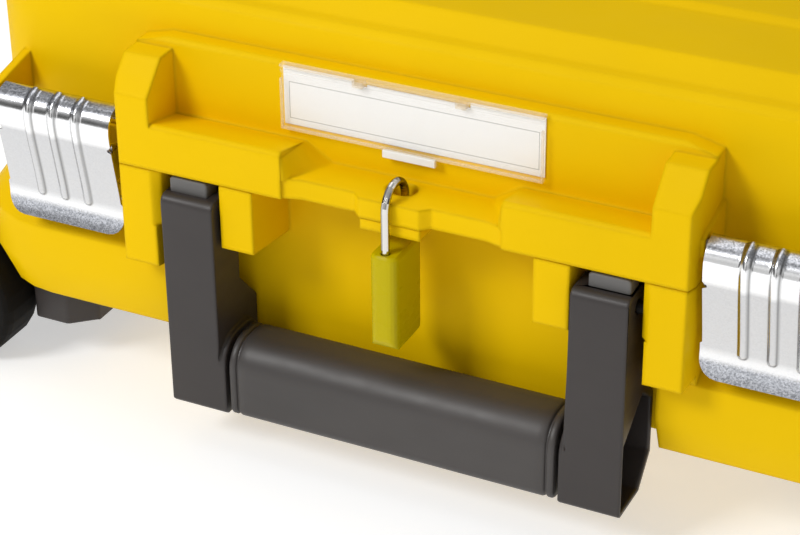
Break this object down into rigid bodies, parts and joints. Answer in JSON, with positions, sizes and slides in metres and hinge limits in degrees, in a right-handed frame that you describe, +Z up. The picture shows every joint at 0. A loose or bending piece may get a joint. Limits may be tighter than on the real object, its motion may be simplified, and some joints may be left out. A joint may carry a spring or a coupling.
{
  "type": "wheeled tool case",
  "caption": "Yellow plastic tool case with a hinged lid, steel draw latches, front carry handle, label window, hasp padlock, lift-out tray, wheels and a pull-out handle",
  "frame": {"origin": "on the floor, under the middle of the bounding box", "axes": "+X along the long side, away from the wheels; -Y is the latched front; +Z up"},
  "size_m": [0.602, 0.412, 0.2385],
  "materials": {
    "yellow_plastic": "satin injection-moulded polypropylene",
    "black_plastic": "satin moulded plastic",
    "black_rubber": "matte soft rubber",
    "grey_plastic": "matte moulded plastic",
    "zinc_plated_steel": "pressed sheet with a bright zinc coat",
    "steel": "plain drawn steel",
    "chrome": "polished chrome plate",
    "lime_padlock": "satin coloured coat on a solid body",
    "brass": "plain turned brass",
    "clear_plastic": "clear moulded plastic",
    "paper": "plain white card"
  },
  "bodies": {
    "base": {"base_shell": "yellow_plastic", "hinge_pin_left": "steel", "hinge_pin_right": "steel", "handle_pin_left": "steel", "handle_pin_right": "steel", "wheel_carrier": "black_plastic", "skid_carrier": "black_plastic", "foot_pad_front": "black_rubber", "foot_pad_rear": "black_rubber", "guide_tube_front": "steel", "guide_tube_rear": "steel", "axle": "steel", "axle_cap_front": "black_plastic", "axle_cap_rear": "black_plastic", "screw_wheel_1": "steel", "screw_wheel_2": "steel", "screw_skid_1": "steel", "screw_skid_2": "steel"},
    "lid": {"lid_shell": "yellow_plastic", "lid_seal": "black_rubber", "label_card": "paper", "label_strip": "clear_plastic", "latch_left_pin": "steel", "latch_right_pin": "steel"},
    "latch_left": {"latch_left_lever": "zinc_plated_steel", "latch_left_bail_pin": "steel"},
    "latch_right": {"latch_right_lever": "zinc_plated_steel", "latch_right_bail_pin": "steel"},
    "bail_left": {"latch_left_bail": "steel"},
    "bail_right": {"latch_right_bail": "steel"},
    "carry_handle": {"handle_arm_left": "black_plastic", "handle_arm_right": "black_plastic", "handle_lug_left": "grey_plastic", "handle_lug_right": "grey_plastic", "handle_core": "black_plastic", "handle_grip": "black_rubber"},
    "window": {"label_window": "clear_plastic"},
    "shackle": {"padlock_shackle": "chrome"},
    "lock_body": {"padlock_body": "lime_padlock", "padlock_plug": "brass"},
    "tray": {"tray": "black_plastic", "tray_divider_1": "grey_plastic", "tray_divider_2": "grey_plastic", "tray_divider_3": "grey_plastic"},
    "tray_handle": {"tray_handle": "black_plastic"},
    "wheel_front": {"tyre_front": "black_rubber", "hub_front": "grey_plastic"},
    "wheel_rear": {"tyre_rear": "black_rubber", "hub_rear": "grey_plastic"},
    "pull_handle": {"pull_rod_front": "chrome", "pull_rod_rear": "chrome", "pull_grip": "black_plastic"}
  },
  "joints": [
    {"name": "lid_hinge", "type": "hinge", "parent": "base", "child": "lid", "pos_m": [0, 0.2, 0.1505], "axis": [-1, 0, 0], "range_deg": [0, 105]},
    {"name": "latch_left_swing", "type": "hinge", "parent": "lid", "child": "latch_left", "pos_m": [-0.1827, -0.1845, 0.1702], "axis": [-1, 0, 0], "range_deg": [0, 110]},
    {"name": "latch_right_swing", "type": "hinge", "parent": "lid", "child": "latch_right", "pos_m": [0.1827, -0.1845, 0.1702], "axis": [-1, 0, 0], "range_deg": [0, 110]},
    {"name": "bail_left_swing", "type": "hinge", "parent": "latch_left", "child": "bail_left", "pos_m": [-0.1827, -0.178, 0.147], "axis": [-1, 0, 0], "range_deg": [-55, 0]},
    {"name": "bail_right_swing", "type": "hinge", "parent": "latch_right", "child": "bail_right", "pos_m": [0.1827, -0.178, 0.147], "axis": [-1, 0, 0], "range_deg": [-55, 0]},
    {"name": "carry_handle_swing", "type": "hinge", "parent": "base", "child": "carry_handle", "pos_m": [0, -0.188, 0.133], "axis": [-1, 0, 0], "range_deg": [0, 90]},
    {"name": "window_flip", "type": "hinge", "parent": "lid", "child": "window", "pos_m": [0, -0.173, 0.2062], "axis": [-1, 0, 0], "range_deg": [0, 100]},
    {"name": "padlock_swing", "type": "hinge", "parent": "base", "child": "shackle", "pos_m": [0, -0.189, 0.1642], "axis": [-1, 0, 0], "range_deg": [-3, 6]},
    {"name": "padlock_release", "type": "slide", "parent": "shackle", "child": "lock_body", "axis": [0, 0, -1], "range_m": [0, 0.009]},
    {"name": "tray_lift", "type": "slide", "parent": "base", "child": "tray", "axis": [0, 0, 1], "range_m": [0, 0.045]},
    {"name": "tray_handle_fold", "type": "hinge", "parent": "tray", "child": "tray_handle", "pos_m": [0, 0.0155, 0.1485], "axis": [1, 0, 0], "range_deg": [0, 90]},
    {"name": "wheel_front_spin", "type": "hinge", "parent": "base", "child": "wheel_front", "pos_m": [-0.266, -0.1665, 0.035], "axis": [0, 1, 0], "continuous": true},
    {"name": "wheel_rear_spin", "type": "hinge", "parent": "base", "child": "wheel_rear", "pos_m": [-0.266, 0.1805, 0.035], "axis": [0, 1, 0], "continuous": true},
    {"name": "pull_handle_slide", "type": "slide", "parent": "base", "child": "pull_handle", "axis": [1, 0, 0], "range_m": [0, 0.28]}
  ],
  "couplings": [
    {"joint": "bail_left_swing", "follows": "latch_left_swing", "ratio": -0.5},
    {"joint": "bail_right_swing", "follows": "latch_right_swing", "ratio": -0.5}
  ]
}
